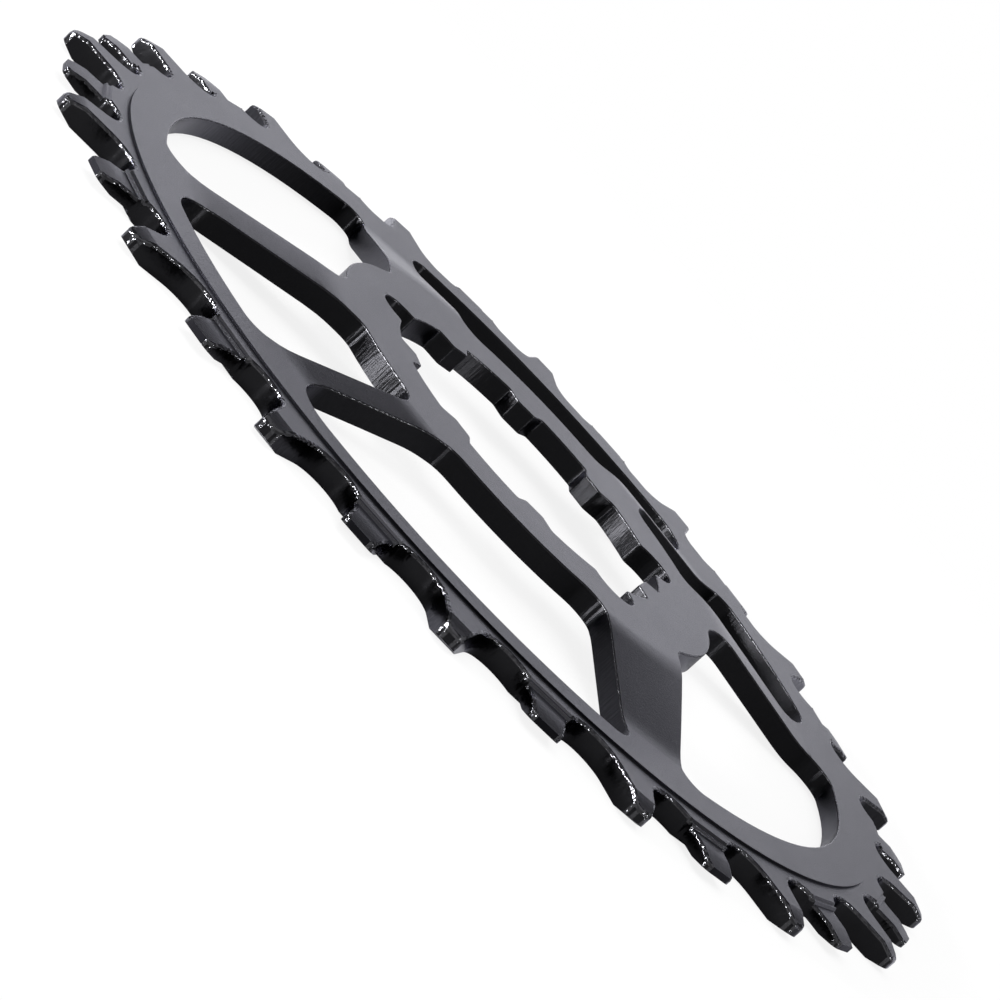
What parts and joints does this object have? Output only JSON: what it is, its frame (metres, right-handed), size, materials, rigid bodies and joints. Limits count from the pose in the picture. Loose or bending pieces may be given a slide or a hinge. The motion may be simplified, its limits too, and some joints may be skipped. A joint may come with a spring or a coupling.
{
  "type": "bicycle chainring",
  "caption": "Direct-mount narrow-wide bicycle chainring with a dished spider, open windows and a splined hole, made to carry a chain on a single-ring crank.",
  "frame": {"origin": "on the ring's axis, in the plane of the back of the toothed band, on which the ring lies", "axes": "+Z along the ring's axis, towards the face where the hub stands proud; +X two degrees before the middle of a wide tooth"},
  "size_m": [0.1378, 0.1378, 0.0061],
  "materials": {
    "chainring": "satin black anodised"
  },
  "bodies": {
    "root": {"chainring": "chainring"}
  },
  "joints": []
}
